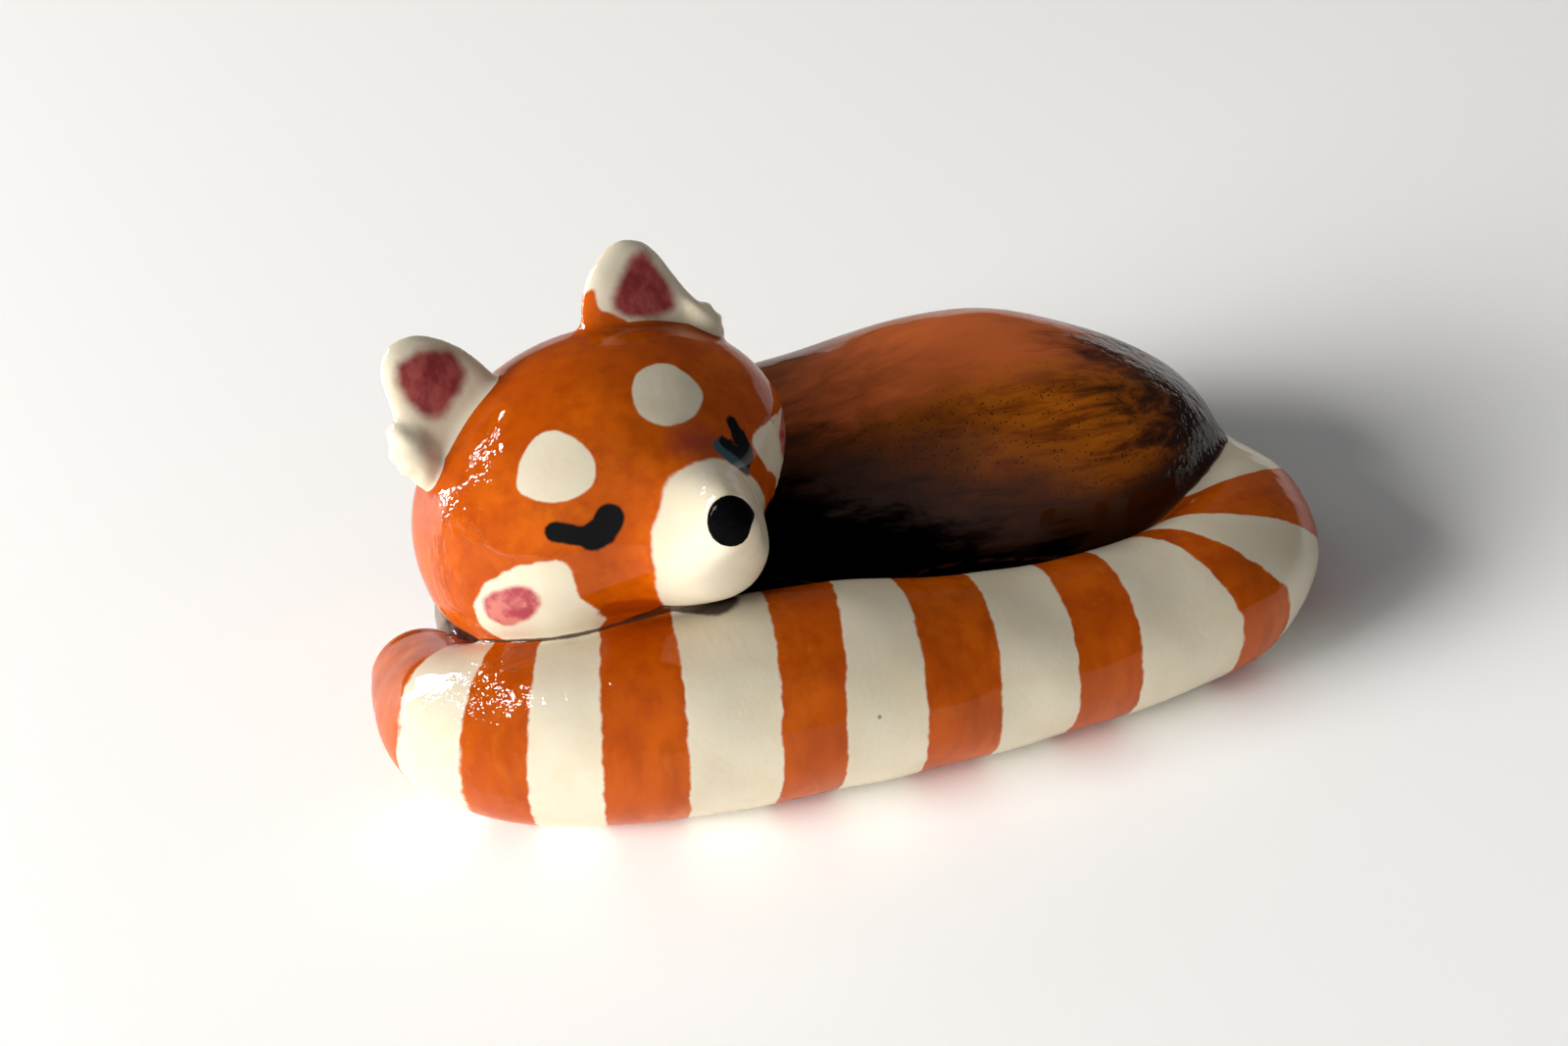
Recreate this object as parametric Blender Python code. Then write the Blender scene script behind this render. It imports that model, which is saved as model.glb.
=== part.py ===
"""A sleeping red panda of hand-built, glazed clay: a curled animal with its tail wrapped round the front.

Each lump of clay is one object. Where two lumps are pressed together, one is hollowed to seat the other, with
a thin layer of joining slip between them. Lengths are in millimetres until a mesh is made, in metres.
The tail's long front stretch runs along X, and the animal faces -Y. Right and left are the animal's own.
"""

import math

import bmesh
import bpy
from mathutils import Euler, Matrix, Vector

MM = 0.001
ORIGIN = Vector((0.7, -16.0, 0.0))  # middle of the footprint, in the layout that the numbers below use

# Driving dimensions, in millimetres.
SLIP = 0.3  # layer of joining slip between two lumps
HOLLOW_CENTRE = Vector((5.0, -5.6, 0.0))  # the body is scooped out from underneath, so that it fires evenly
HOLLOW_HALF = Vector((17.5, 7.6, 15.0))
VENT_RADIUS = 1.5  # hole from the thick head down through the chest, which lets steam out
VENT_LOW = Vector((-21.0, -13.0, -3.0))
VENT_HIGH = Vector((-21.0, -18.0, 20.0))

# The tail's middle line from tip to root: x, y and the roll's radius there.
TAIL_STATIONS = (
    (-39.4, -16.2, 3.9),
    (-38.6, -22.0, 5.5),
    (-36.6, -28.3, 7.1),
    (-30.6, -32.3, 8.1),
    (-20.0, -34.6, 8.7),
    (-6.0, -35.0, 8.8),
    (7.0, -35.1, 7.8),
    (20.0, -33.7, 7.3),
    (30.5, -31.0, 7.4),
    (36.6, -25.7, 7.1),
    (39.4, -18.9, 6.2),
    (38.6, -12.4, 5.4),
    (34.0, -8.0, 5.0),
)
TIP_SHARE = 0.05  # share of the middle line over which the tip is rounded off
ROOT_SHARE = 0.04
TIP_RINGS, RUN_RINGS, ROOT_RINGS = 6, 36, 4
END_CAP = 0.14  # radius of the last ring, as a share of the tail's there
TAIL_SEAT = 0.92  # height of the middle line as a share of the radius: the underside is pressed flat

# The body's middle line from chest to rump: x, y, half width and height.
BODY_STATIONS = (
    (-27.0, -17.0, 10.5, 13.5),
    (-19.0, -5.5, 14.0, 16.0),
    (-1.0, -4.5, 16.0, 18.0),
    (20.0, -7.2, 17.2, 24.6),
    (41.0, -7.6, 15.4, 21.6),
)
BODY_WIDEST = 0.42  # share of its height at which the body is widest
HAUNCH = Vector((26.0, -19.0, 9.0))  # the thigh swells out here, down to the tail
HAUNCH_RADIUS = 13.0
HAUNCH_BULGE = 4.6

# The head is a ball of unequal half axes: across the ears, front to back, and up.
HEAD_CENTRE = Vector((-22.1, -19.2, 21.0))
HEAD_TURN = Euler((math.radians(-30.8), math.radians(-12.4), math.radians(17.4)), "XYZ")
HEAD_HALF = Vector((17.2, 14.3, 13.4))
JAW_DEPTH = 0.84  # the lower half is this much shallower than the upper half
JAW_SHIFT = 0.1  # the jaw hangs to the right as the head rests on it
HEAD = Matrix.Translation(HEAD_CENTRE) @ HEAD_TURN.to_matrix().to_4x4()

# Places on the head, in the head's own axes: +X its left ear, -Y its face, +Z its crown.
SNOUT_CENTRE = Vector((1.9, -11.6, -4.6))
SNOUT_HALF = Vector((5.4, 10.0, 5.6))
NOSE_CENTRE = Vector((1.8, -20.5, -3.4))
NOSE_HALF = Vector((1.85, 1.5, 1.95))
EAR_FRONT = -2.4  # where the ears' flaps lie, front to back
EAR_THICK = 2.0
EAR_DISH = 0.9
# Outlines in the head's X and Z, anticlockwise seen from the face.
EARS = {
    "right_ear": (
        (-4.6, 12.4),
        (-5.7, 16.4),
        (-8.6, 19.2),
        (-11.6, 19.2),
        (-13.2, 16.4),
        (-13.4, 11.0),
        (-11.8, 7.4),
        (-7.0, 8.5),
    ),
    "left_ear": (
        (13.8, 9.2),
        (13.6, 13.6),
        (12.3, 17.0),
        (9.6, 18.0),
        (6.4, 16.4),
        (4.0, 12.6),
        (6.2, 9.0),
        (11.2, 6.6),
    ),
}
TUFTS = {
    "right_ear_tuft": (
        (-12.6, 13.4),
        (-14.4, 13.5),
        (-15.3, 11.2),
        (-14.5, 8.8),
        (-12.8, 7.6),
        (-11.6, 10.2),
    ),
    "left_ear_tuft": (
        (14.9, 6.8),
        (15.5, 8.3),
        (14.8, 10.1),
        (13.0, 11.2),
        (12.2, 8.2),
        (13.2, 5.8),
    ),
}

# Legs: centre, half axes and turn about Z in degrees.
LEGS = {
    "right_forepaw": (Vector((-30.5, -13.5, 4.4)), Vector((6.2, 8.0, 5.8)), 14),
    "left_forepaw": (Vector((-8.5, -22.5, 4.6)), Vector((7.6, 6.0, 6.2)), -8),
    "hind_leg": (Vector((11.5, -23.0, 4.8)), Vector((12.0, 6.0, 6.6)), 4),
}

COLOURS = {
    "orange_glaze": (0.45, 0.07, 0.003),
    "white_glaze": (0.78, 0.72, 0.58),
    "brown_glaze": (0.14, 0.035, 0.008),
    "black_glaze": (0.008, 0.006, 0.005),
}


def new_collection(name):
    collection = bpy.data.collections.new(name)
    bpy.context.scene.collection.children.link(collection)
    return collection


def glaze(name):
    """A glossy fired glaze of one colour."""
    made = bpy.data.materials.get(name)
    if made is None:
        made = bpy.data.materials.new(name)
        made.use_nodes = True
        shader = made.node_tree.nodes["Principled BSDF"]
        shader.inputs["Base Color"].default_value = (*COLOURS[name], 1.0)
        shader.inputs["Roughness"].default_value = 0.12
        shader.inputs["Metallic"].default_value = 0.0
        shader.inputs["Coat Weight"].default_value = 1.0
    return made


def place(name, mesh, finish):
    """Makes a mesh into a named lump, or into a cutter where it has no finish."""
    made = bpy.data.objects.new(name, mesh)
    if finish:
        mesh.materials.append(glaze(finish))
        mesh.shade_smooth()
        mesh.set_sharp_from_angle(angle=math.radians(40))
        figurine.objects.link(made)
    else:
        made.hide_render = True
        made.display_type = "WIRE"
        cutters.objects.link(made)
    return made


def grown(form, amount):
    """Pushes every point of a closed form out along its normal."""
    form.normal_update()
    moves = [vertex.normal * amount for vertex in form.verts]
    for vertex, move in zip(form.verts, moves):
        vertex.co += move


def to_metres(form):
    """Takes a shape from the layout in millimetres to the object's own frame in metres."""
    bmesh.ops.translate(form, vec=-ORIGIN, verts=form.verts)
    bmesh.ops.scale(form, vec=(MM, MM, MM), verts=form.verts)


def ball(name, shape, segments, rings, finish=None, grow=0.0, axis="Z"):
    """A closed lump: a ball whose points go where shape sends each direction. The poles lie on the axis."""
    form = bmesh.new()
    bmesh.ops.create_uvsphere(form, u_segments=segments, v_segments=rings, radius=1.0)
    if axis == "X":
        turn = Matrix.Rotation(math.radians(90), 3, "Y")
        bmesh.ops.transform(form, matrix=turn.to_4x4(), verts=form.verts)
    if axis == "Y":
        turn = Matrix.Rotation(math.radians(90), 3, "X")
        bmesh.ops.transform(form, matrix=turn.to_4x4(), verts=form.verts)
    for vertex in form.verts:
        vertex.co = shape(vertex.co.normalized())
    grown(form, grow)
    to_metres(form)
    mesh = bpy.data.meshes.new(name)
    form.to_mesh(mesh)
    form.free()
    return place(name, mesh, finish)


def block(name, low, high):
    """A box that cuts."""
    form = bmesh.new()
    bmesh.ops.create_cube(form, size=1.0)
    low, high = Vector(low), Vector(high)
    bmesh.ops.scale(form, vec=high - low, verts=form.verts)
    bmesh.ops.translate(form, vec=(high + low) / 2, verts=form.verts)
    to_metres(form)
    mesh = bpy.data.meshes.new(name)
    form.to_mesh(mesh)
    form.free()
    return place(name, mesh, None)


def vent(name):
    """A straight round hole up into the head from its hidden underside."""
    along = VENT_HIGH - VENT_LOW
    turn = Vector((0, 0, 1)).rotation_difference(along).to_matrix().to_4x4()
    middle = Matrix.Translation((VENT_HIGH + VENT_LOW) / 2)
    form = bmesh.new()
    ends = {"radius1": VENT_RADIUS, "radius2": VENT_RADIUS, "depth": along.length}
    bmesh.ops.create_cone(form, cap_ends=True, segments=12, **ends)
    bmesh.ops.transform(form, matrix=middle @ turn, verts=form.verts)
    to_metres(form)
    mesh = bpy.data.meshes.new(name)
    form.to_mesh(mesh)
    form.free()
    return place(name, mesh, None)


def cut(lump, *tools):
    for tool in tools:
        boolean = lump.modifiers.new(f"cut_by_{tool.name}", "BOOLEAN")
        boolean.object = tool
        boolean.operation = "DIFFERENCE"
        boolean.solver = "EXACT"


def through(stations, share):
    """A smooth curve through the stations, from the first at share 0 to the last at share 1."""
    last = len(stations) - 1
    place_on = min(max(share, 0.0), 1.0) * last
    index = min(int(place_on), last - 1)
    t = place_on - index
    before = Vector(stations[max(index - 1, 0)])
    start = Vector(stations[index])
    end = Vector(stations[index + 1])
    after = Vector(stations[min(index + 2, last)])
    straight = 2 * start + (end - before) * t
    bend = (2 * before - 5 * start + 4 * end - after) * t * t
    twist = (3 * start - before - 3 * end + after) * t * t * t
    return (straight + bend + twist) / 2


# --- body ---


def body_shape(direction):
    """A bean along its middle line, dome topped, with the haunch swelling out towards the tail."""
    share = (direction.x + 1) / 2
    x, y, half_width, height = through(BODY_STATIONS, share)
    ahead = through(BODY_STATIONS, share + 0.02)
    behind = through(BODY_STATIONS, share - 0.02)
    along = Vector((ahead[0] - behind[0], ahead[1] - behind[1], 0.0)).normalized()
    across = Vector((-along.y, along.x, 0.0))
    middle = Vector((x, y, height * BODY_WIDEST))
    rise = direction.z * height * (1 - BODY_WIDEST)
    point = middle + across * direction.y * half_width + Vector((0, 0, rise))
    away = (point - HAUNCH).length / HAUNCH_RADIUS
    side = across * (-1 if direction.y < 0 else 0) + Vector((0, 0, 0.15))
    return point + side * HAUNCH_BULGE * math.exp(-away * away)


def hollow_shape(direction):
    """The hollow scooped out from underneath, which leaves a flat foot all round."""
    return HOLLOW_CENTRE + Vector(d * h for d, h in zip(direction, HOLLOW_HALF))


# --- tail ---


def tail_roll(name, finish, grow=0.0):
    """A tapering roll of clay along the middle line, rounded off at both ends."""
    curve = bpy.data.curves.new(name, "CURVE")
    curve.dimensions = "3D"
    curve.bevel_depth = MM
    curve.bevel_resolution = 8
    curve.use_fill_caps = True
    curve.twist_mode = "Z_UP"
    rows = tail_rows()
    spline = curve.splines.new("POLY")
    spline.points.add(len(rows) - 1)
    for point, (centre, radius) in zip(spline.points, rows):
        point.co = (*((centre - ORIGIN) * MM), 1.0)
        point.radius = radius + grow
    guide = bpy.data.objects.new(f"{name}_line", curve)
    cutters.objects.link(guide)
    bpy.context.view_layer.update()
    graph = bpy.context.evaluated_depsgraph_get()
    mesh = bpy.data.meshes.new_from_object(guide.evaluated_get(graph))
    mesh.name = name
    bpy.data.objects.remove(guide)
    form = bmesh.new()
    form.from_mesh(mesh)
    bmesh.ops.remove_doubles(form, verts=form.verts, dist=0.00001)
    bmesh.ops.recalc_face_normals(form, faces=form.faces)
    form.to_mesh(mesh)
    form.free()
    return place(name, mesh, finish)


def tail_rows():
    """Centre and radius of each ring. Rings crowd together where the two ends are rounded off."""
    quarter = math.pi / 2
    run = 1 - TIP_SHARE - ROOT_SHARE
    shares = [TIP_SHARE * (1 - math.cos(quarter * k / TIP_RINGS)) for k in range(TIP_RINGS)]
    shares += [TIP_SHARE + run * k / RUN_RINGS for k in range(RUN_RINGS)]
    shares += [1 - ROOT_SHARE * (1 - math.sin(quarter * k / ROOT_RINGS)) for k in range(ROOT_RINGS + 1)]
    rows = []
    for share in shares:
        x, y, radius = through(TAIL_STATIONS, share)
        from_tip = min(share / TIP_SHARE, 1.0)
        from_root = min((1 - share) / ROOT_SHARE, 1.0)
        rounding = quarter_round(from_tip) * quarter_round(from_root)
        rows.append((Vector((x, y, radius * TAIL_SEAT)), radius * rounding))
    return rows


def quarter_round(share):
    """Height of a quarter circle, which starts a little above 0 so that the end cap keeps a face."""
    return math.sqrt(max(1 - (1 - share) ** 2, END_CAP**2))


# --- head ---


def head_shape(direction):
    """A wide ball with a shallower jaw, which leans to one side."""
    point = Vector(d * h for d, h in zip(direction, HEAD_HALF))
    if point.z < 0:
        point.z *= JAW_DEPTH
        point.x += JAW_SHIFT * point.z
    return HEAD @ point


def on_head(half, centre):
    """A shape function for a ball of the given half axes, placed in the head's own axes."""

    def shape(direction):
        return HEAD @ (centre + Vector(d * h for d, h in zip(direction, half)))

    return shape


def flap_shape(outline, thick, dish):
    """A pillow with the given outline, facing forward on the head, and dished on its front."""
    middle = sum((Vector(p) for p in outline), Vector((0.0, 0.0))) / len(outline)
    closed = outline + outline[:1]

    def shape(direction):
        share = math.atan2(direction.z, direction.x) / math.tau % 1.0
        reach = math.hypot(direction.x, direction.z)
        flat = middle + (Vector(ring_point(closed, share)) - middle) * reach
        deep = EAR_FRONT + thick * direction.y
        if direction.y < 0:
            deep += dish * direction.y**2
        return HEAD @ Vector((flat.x, deep, flat.y))

    return shape


def ring_point(closed, share):
    """A smooth closed curve through an outline whose last point repeats its first."""
    count = len(closed) - 1
    place_on = share * count
    index = int(place_on) % count
    t = place_on - int(place_on)
    before, start, end, after = (Vector(closed[(index + k) % count]) for k in (-1, 0, 1, 2))
    straight = 2 * start + (end - before) * t
    bend = (2 * before - 5 * start + 4 * end - after) * t * t
    twist = (3 * start - before - 3 * end + after) * t * t * t
    return (straight + bend + twist) / 2


def leg_shape(name):
    centre, half, degrees = LEGS[name]
    turn = Matrix.Rotation(math.radians(degrees), 3, "Z")

    def shape(direction):
        return centre + turn @ Vector(d * h for d, h in zip(direction, half))

    return shape


# --- assembly ---


def build():
    under = block("table_cut", (-80, -80, -20), (80, 80, 0))
    head_seat = ball("head_seat", head_shape, 36, 22, grow=SLIP)
    tail_seat = tail_roll("tail_seat", None, SLIP)
    body_seat = ball("body_seat", body_shape, 40, 24, grow=SLIP, axis="X")
    snout_seat = ball("snout_seat", on_head(SNOUT_HALF, SNOUT_CENTRE), 24, 16, grow=SLIP, axis="Y")

    hollow = ball("hollow", hollow_shape, 28, 16, axis="X")

    steam_vent = vent("steam_vent")

    head = ball("head", head_shape, 36, 22, "orange_glaze")
    cut(head, steam_vent)
    tail = tail_roll("tail", "orange_glaze")
    cut(tail, under, head_seat, snout_seat)
    body = ball("body", body_shape, 40, 24, "brown_glaze", axis="X")
    cut(body, under, head_seat, tail_seat, hollow, steam_vent)
    snout = ball("snout", on_head(SNOUT_HALF, SNOUT_CENTRE), 24, 16, "white_glaze", axis="Y")
    cut(snout, head_seat)
    nose = ball("nose", on_head(NOSE_HALF, NOSE_CENTRE), 14, 8, "black_glaze", axis="Y")
    cut(nose, snout_seat)
    for name, outline in EARS.items():
        shape = flap_shape(outline, EAR_THICK, EAR_DISH)
        ear_seat = ball(f"{name}_seat", shape, 20, 14, grow=SLIP, axis="Y")
        ear = ball(name, shape, 20, 14, "white_glaze", axis="Y")
        cut(ear, head_seat)
        tuft_name = f"{name}_tuft"
        tuft = ball(tuft_name, flap_shape(TUFTS[tuft_name], EAR_THICK, 0.0), 14, 10, "white_glaze", axis="Y")
        cut(tuft, head_seat, ear_seat)
    for name in LEGS:
        leg = ball(name, leg_shape(name), 24, 14, "black_glaze", axis="X")
        cut(leg, under, head_seat, tail_seat, body_seat, snout_seat)


for old in list(bpy.data.objects):
    bpy.data.objects.remove(old)
figurine = new_collection("sleeping_red_panda")
cutters = new_collection("cutters")
cutters.hide_render = True
build()
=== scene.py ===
"""The looks of the sleeping red panda figurine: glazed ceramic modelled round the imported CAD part.

The fired figurine is one skin: where two lumps of clay meet, slip and glaze round the corner between them. So
the lumps are worked out as distance fields on a fine grid, melted together with a small radius at each joint,
and meshed once. The skin is then parted again at the joints into one object for each CAD node, closed by a
thin inner wall. In the creases where lumps nearly tie, the body and the hind leg also get a few small closed
flakes of skin beside their main shells.
Lengths are in millimetres, in the design's layout, until a mesh is made. Right and left are the animal's own.
"""

import itertools
import math

import bpy
import numpy as np
import openvdb
from mathutils import Euler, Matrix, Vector


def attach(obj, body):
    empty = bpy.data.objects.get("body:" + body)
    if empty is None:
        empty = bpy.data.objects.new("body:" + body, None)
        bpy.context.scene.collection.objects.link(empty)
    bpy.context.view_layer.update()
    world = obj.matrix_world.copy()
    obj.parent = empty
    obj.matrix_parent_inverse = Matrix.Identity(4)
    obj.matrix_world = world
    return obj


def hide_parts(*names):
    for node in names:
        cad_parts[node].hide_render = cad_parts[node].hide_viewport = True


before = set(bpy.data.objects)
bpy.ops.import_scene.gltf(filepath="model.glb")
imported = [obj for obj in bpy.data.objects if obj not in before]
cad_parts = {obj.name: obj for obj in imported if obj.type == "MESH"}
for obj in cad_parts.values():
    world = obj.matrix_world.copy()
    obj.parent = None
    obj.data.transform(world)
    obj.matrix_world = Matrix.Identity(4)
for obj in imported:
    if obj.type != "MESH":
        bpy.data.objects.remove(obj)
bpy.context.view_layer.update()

MM = 0.001
ORIGIN = np.array((0.7, -16.0, 0.0))  # where the row frame's origin lies in the design's layout
VOXEL = 0.42
GRID_LOW = np.array((-47.0, -46.0, -1.6))
GRID_HIGH = np.array((48.0, 14.0, 42.0))
LIGHT_DISTANCE = 2.2  # metres
WALL = 0.5  # thickness of the skin that each piece is made of
FAR = 9.0  # distance that stands for anywhere away from a lump

# The design's own dimensions, as in the CAD model. The tail's stations are x, y and radius, from tip to root,
# and the body's are x, y, half width and height, from neck to rump.
TAIL_STATIONS = (
    (-39.4, -16.2, 3.9), (-38.6, -22.0, 5.5), (-36.6, -28.3, 7.1), (-30.6, -32.3, 8.1),
    (-20.0, -34.6, 8.7), (-6.0, -35.0, 8.8), (7.0, -35.1, 7.8), (20.0, -33.7, 7.3), (30.5, -31.0, 7.4),
    (36.6, -25.7, 7.1), (39.4, -18.9, 6.2), (38.6, -12.4, 5.4), (34.0, -8.0, 5.0),
)
TAIL_SEAT = 0.92  # height of the tail's middle line, as a share of its radius
BODY_STATIONS = (
    (-27.0, -17.0, 10.5, 13.5), (-19.0, -5.5, 14.0, 16.0), (-1.0, -4.5, 16.0, 18.0),
    (20.0, -7.2, 17.2, 24.6), (41.0, -7.6, 15.4, 21.6),
)
BODY_WIDEST = 0.42  # share of its height at which the body is widest
HAUNCH = (26.0, -19.0, 9.0)
HAUNCH_RADIUS = 13.0
HAUNCH_BULGE = 4.6
HOLLOW_CENTRE = (5.0, -5.6, 0.0)
HOLLOW_HALF = (17.5, 7.6, 15.0)
VENT_RADIUS = 1.5
VENT_LOW = (-21.0, -13.0, -3.0)
VENT_HIGH = (-21.0, -18.0, 20.0)
HEAD_CENTRE = np.array((-22.1, -19.2, 21.0))
HEAD_TURN = Euler((math.radians(-30.8), math.radians(-12.4), math.radians(17.4)), "XYZ")
HEAD_AXES = np.array(HEAD_TURN.to_matrix())
HEAD_HALF = (17.2, 14.3, 13.4)
JAW_DEPTH = 0.84
JAW_SHIFT = 0.1
SNOUT_CENTRE = (1.9, -11.6, -4.6)
SNOUT_HALF = (5.4, 10.0, 5.6)
NOSE_CENTRE = (1.8, -20.5, -3.4)
NOSE_HALF = (1.85, 1.5, 1.95)
EAR_FRONT = -2.4
EAR_THICK = 2.0
EARS = {
    "right_ear": (
        (-4.6, 12.4), (-5.7, 16.4), (-8.6, 19.2), (-11.6, 19.2), (-13.2, 16.4), (-13.4, 11.0),
        (-11.8, 7.4), (-7.0, 8.5),
    ),
    "left_ear": (
        (13.8, 9.2), (13.6, 13.6), (12.3, 17.0), (9.6, 18.0), (6.4, 16.4), (4.0, 12.6), (6.2, 9.0),
        (11.2, 6.6),
    ),
}
TUFTS = {
    "right_ear_tuft": (
        (-12.6, 13.4), (-14.4, 13.5), (-15.3, 11.2), (-14.5, 8.8), (-12.8, 7.6), (-11.6, 10.2),
    ),
    "left_ear_tuft": (
        (14.9, 6.8), (15.5, 8.3), (14.8, 10.1), (13.0, 11.2), (12.2, 8.2), (13.2, 5.8),
    ),
}
LEGS = {
    "right_forepaw": ((-30.5, -13.5, 4.4), (6.2, 8.0, 5.8), 14),
    "left_forepaw": ((-8.5, -22.5, 4.6), (7.6, 6.0, 6.2), -8),
    "hind_leg": ((11.5, -23.0, 4.8), (12.0, 6.0, 6.6), 4),
}

# What only the visible skin has: softer and more hand-made shapes than the CAD model's.
TIP_SHARE = 0.03  # where the round end of the tip has its centre, as a share of the middle line
SNOUT_BLUNT = 2.4  # how square the muzzle is: 2 would be an egg
SNOUT_TAPER = 0.24
SNOUT_CHIN = 1.1  # how much deeper the muzzle is below its middle
# Where thumbs pressed the muzzle flat: the way each facet faces, and how far it is from the muzzle's middle.
SNOUT_FACETS = (((-0.3, -0.62, -0.72), 6.5), ((-0.78, -0.45, 0.43), 5.6), ((0.93, -0.35, 0.1), 5.5))
SNOUT_EDGE = 1.8
EAR_DISH = 1.2
SCALLOP_COUNT = 7  # round a whole tuft
SCALLOP_DEPTH = 0.09  # as a share of the tuft's reach
VENT_ROUND = 0.4
FOOT_ROUND = 0.8
BARE = 0.12  # how close to a cut the clay is bare
# Wavelength and height of the unevenness of each lump, and its seed.
UNEVEN = {"body": (11.0, 0.10, 1), "tail": (10.0, 0.10, 2), "head": (12.0, 0.07, 3), "snout": (7.0, 0.16, 4)}
UNEVEN_EAR = (6.0, 0.07, 5)

# How far, in millimetres, each joint is melted round.
MELT = {"snout": 4.2, "nose": 0.5, "ear": 1.3, "tuft": 0.7, "leg": 3.0, "head_tail": 0.5, "head_body": 1.4}
MELT_TAIL_BODY = 0.6
MELT_TAIL_ROOT = 2.4
ROOT_X, ROOT_REACH = 22.0, 10.0  # where along X the tail starts to melt in more, and over what length
# The dark line under the head is painted shade of the crease, widened under the muzzle.
CREASE_SHADE_WIDENS = 1.1  # how much wider the dark line under the head gets towards the middle of the tail
SHADE_WIDENS_X, SHADE_WIDENS_REACH = -24.0, 8.0  # where along X that starts, and over what length


# --- curves through stations ---


def through(stations, shares):
    """Points at the given shares of a smooth curve through the stations."""
    nodes = np.asarray(stations, float)
    last = len(nodes) - 1
    spot = np.clip(np.asarray(shares, float), 0.0, 1.0) * last
    index = np.minimum(spot.astype(int), last - 1)
    t = (spot - index)[:, None]
    before, start = nodes[np.maximum(index - 1, 0)], nodes[index]
    end, after = nodes[index + 1], nodes[np.minimum(index + 2, last)]
    straight = 2 * start + (end - before) * t
    bend = (2 * before - 5 * start + 4 * end - after) * t**2
    twist = (3 * start - before - 3 * end + after) * t**3
    return (straight + bend + twist) / 2


def outline_curve(points, steps=12):
    """A smooth closed curve through an outline's points."""
    nodes = np.asarray(points, float)
    count = len(nodes)
    index = np.repeat(np.arange(count), steps)
    t = np.tile(np.arange(steps) / steps, count)[:, None]
    before, start, end, after = (nodes[(index + k) % count] for k in (-1, 0, 1, 2))
    straight = 2 * start + (end - before) * t
    bend = (2 * before - 5 * start + 4 * end - after) * t**2
    twist = (3 * start - before - 3 * end + after) * t**3
    return (straight + bend + twist) / 2


def along_line(line, x, y):
    """How far along a line in X and Y each place lies, in points, and its signed distance from the line."""
    starts, steps = line[:-1], np.diff(line, axis=0)
    squares = (steps**2).sum(1)
    best = np.full(x.shape, 1e9)
    place, side = np.zeros(x.shape), np.zeros(x.shape)
    for k, (start, step, square) in enumerate(zip(starts, steps, squares)):
        t = ((x - start[0]) * step[0] + (y - start[1]) * step[1]) / square
        low = -np.inf if k == 0 else 0.0
        high = np.inf if k == len(starts) - 1 else 1.0
        t = np.clip(t, low, high)
        dx, dy = x - start[0] - t * step[0], y - start[1] - t * step[1]
        squared = dx * dx + dy * dy
        near = squared < best
        best = np.where(near, squared, best)
        place = np.where(near, k + t, place)
        side = np.where(near, np.sign(step[0] * dy - step[1] * dx), side)
    return place, np.sqrt(best) * side


# --- distance fields on the grid ---

counts = np.ceil((GRID_HIGH - GRID_LOW) / VOXEL).astype(int)
ticks = [GRID_LOW[k] + VOXEL * np.arange(counts[k]) for k in range(3)]


def window(low, high):
    """The part of the grid between two corners, as slices, and its coordinates."""
    spans = []
    for k in range(3):
        first = max(int((low[k] - GRID_LOW[k]) / VOXEL), 0)
        final = min(int((high[k] - GRID_LOW[k]) / VOXEL) + 2, counts[k])
        spans.append(slice(first, final))
    x, y, z = (ticks[k][spans[k]] for k in range(3))
    return tuple(spans), (x[:, None, None], y[None, :, None], z[None, None, :])


def melted(a, b, radius):
    """The lower of two distances, rounded where they are close."""
    near = np.clip(radius - np.abs(a - b), 0.0, None) / radius
    return np.minimum(a, b) - near * near * radius / 4


def evened(field, steps=VOXEL):
    """Turns a field that is 0 on the surface into a distance near it."""
    slopes = np.gradient(field, steps)
    return field / np.maximum(np.sqrt(sum(s * s for s in slopes)), 1e-3)


def to_head(x, y, z):
    """Layout coordinates in the head's own axes."""
    dx, dy, dz = x - HEAD_CENTRE[0], y - HEAD_CENTRE[1], z - HEAD_CENTRE[2]
    return [dx * HEAD_AXES[0, k] + dy * HEAD_AXES[1, k] + dz * HEAD_AXES[2, k] for k in range(3)]


def ellipsoid(x, y, z, centre, half):
    parts = [(p - c) / h for p, c, h in zip((x, y, z), centre, half)]
    size = np.sqrt(sum(p * p for p in parts)) + 1e-6
    slope = np.sqrt(sum((p / h) ** 2 for p, h in zip(parts, half))) + 1e-6
    return size * (size - 1) / slope


def head_field(x, y, z):
    lx, ly, lz = to_head(x, y, z)
    lower = lz < 0
    lx = np.where(lower, lx - JAW_SHIFT * lz, lx)
    lz = np.where(lower, lz / JAW_DEPTH, lz)
    return ellipsoid(lx, ly, lz, (0, 0, 0), HEAD_HALF)


def on_head(centre, half):
    return lambda x, y, z: ellipsoid(*to_head(x, y, z), centre, half)


def snout_field(x, y, z):
    """The muzzle narrows towards the nose, and is flatter below."""
    lx, ly, lz = to_head(x, y, z)
    lx, ly, lz = (p - c for p, c in zip((lx, ly, lz), SNOUT_CENTRE))
    width = 1 + SNOUT_TAPER * np.clip(ly / SNOUT_HALF[1], -1, 0)
    lz = np.where(lz < 0, lz / SNOUT_CHIN, lz)
    across = np.hypot(lx / width / SNOUT_HALF[0], lz / width / SNOUT_HALF[2])
    blunt = (across**SNOUT_BLUNT + np.abs(ly / SNOUT_HALF[1]) ** SNOUT_BLUNT) ** (1 / SNOUT_BLUNT)
    pinched = evened(blunt - 1)
    for (nx, ny, nz), reach in SNOUT_FACETS:
        pinched = -melted(-pinched, reach - nx * lx - ny * ly - nz * lz, SNOUT_EDGE)
    return pinched


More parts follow.
